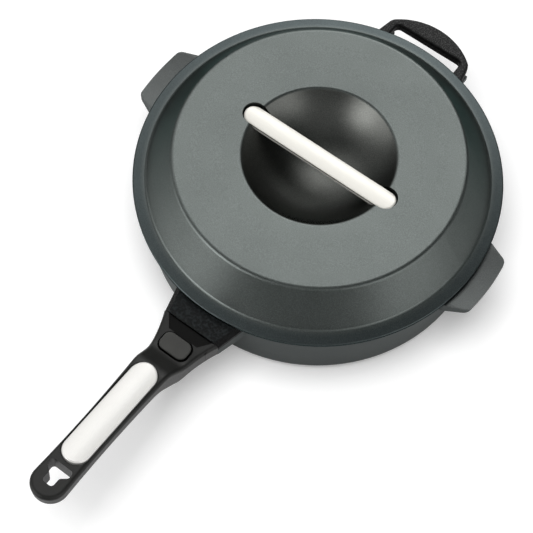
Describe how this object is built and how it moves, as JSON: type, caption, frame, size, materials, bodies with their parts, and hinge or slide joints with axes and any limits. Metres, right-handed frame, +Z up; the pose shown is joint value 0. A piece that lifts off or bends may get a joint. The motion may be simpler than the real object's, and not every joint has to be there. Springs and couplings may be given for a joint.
{
  "type": "covered frying pan with detachable handle",
  "caption": "Deep cast frying pan with a domed lid, a bar grip in a bowl-shaped recess, pouring lips, helper loop and a pull-off handle with release button.",
  "frame": {"origin": "centre of the pan's underside, on the surface that it stands on", "axes": "+Z up, the long handle along -Y, the helper handle along +Y, the pouring lips along X"},
  "size_m": [0.3208, 0.506, 0.1069],
  "materials": {
    "pan_coating": "dark grey non-stick coating with fine metal speckle on cast aluminium",
    "lid_coating": "dark grey coating with fine metal speckle on cast aluminium",
    "disc_steel": "spun magnetic stainless steel",
    "grained_plastic": "black phenolic resin with coarse grain",
    "handle_plastic": "satin black phenolic resin",
    "button_plastic": "satin dark grey plastic",
    "satin_aluminium": "satin brushed with bright bevels",
    "steel": "plain stainless steel",
    "spring_steel": "blued spring steel"
  },
  "bodies": {
    "pan": {"pan_body": "pan_coating", "induction_disc": "disc_steel", "bracket_cap": "grained_plastic", "handle_tongue": "steel", "bracket_screws": "steel", "bracket_washers": "steel", "helper_handle": "grained_plastic", "helper_screws": "steel", "helper_washers": "steel"},
    "lid": {"lid_shell": "lid_coating", "lid_grip_bar": "satin_aluminium", "lid_grip_screws": "steel", "lid_grip_washers": "steel"},
    "handle": {"handle_upper_shell": "handle_plastic", "handle_lower_shell": "handle_plastic", "handle_inlay": "satin_aluminium", "handle_screws": "steel", "socket_collar": "steel", "latch_spring": "spring_steel", "latch_screws": "steel"},
    "button": {"release_button": "button_plastic"}
  },
  "joints": [
    {"name": "lid_lift", "type": "slide", "parent": "pan", "child": "lid", "axis": [0, 0, 1], "range_m": [0, 0.15]},
    {"name": "handle_pull", "type": "slide", "parent": "pan", "child": "handle", "axis": [0, -1, 0], "range_m": [0, 0.06], "deforming": ["latch_spring"]},
    {"name": "button_press", "type": "slide", "parent": "handle", "child": "button", "axis": [0, 0, -1], "range_m": [0, 0.002], "stiffness_N_per_m": 2500, "deforming": ["latch_spring"]}
  ]
}
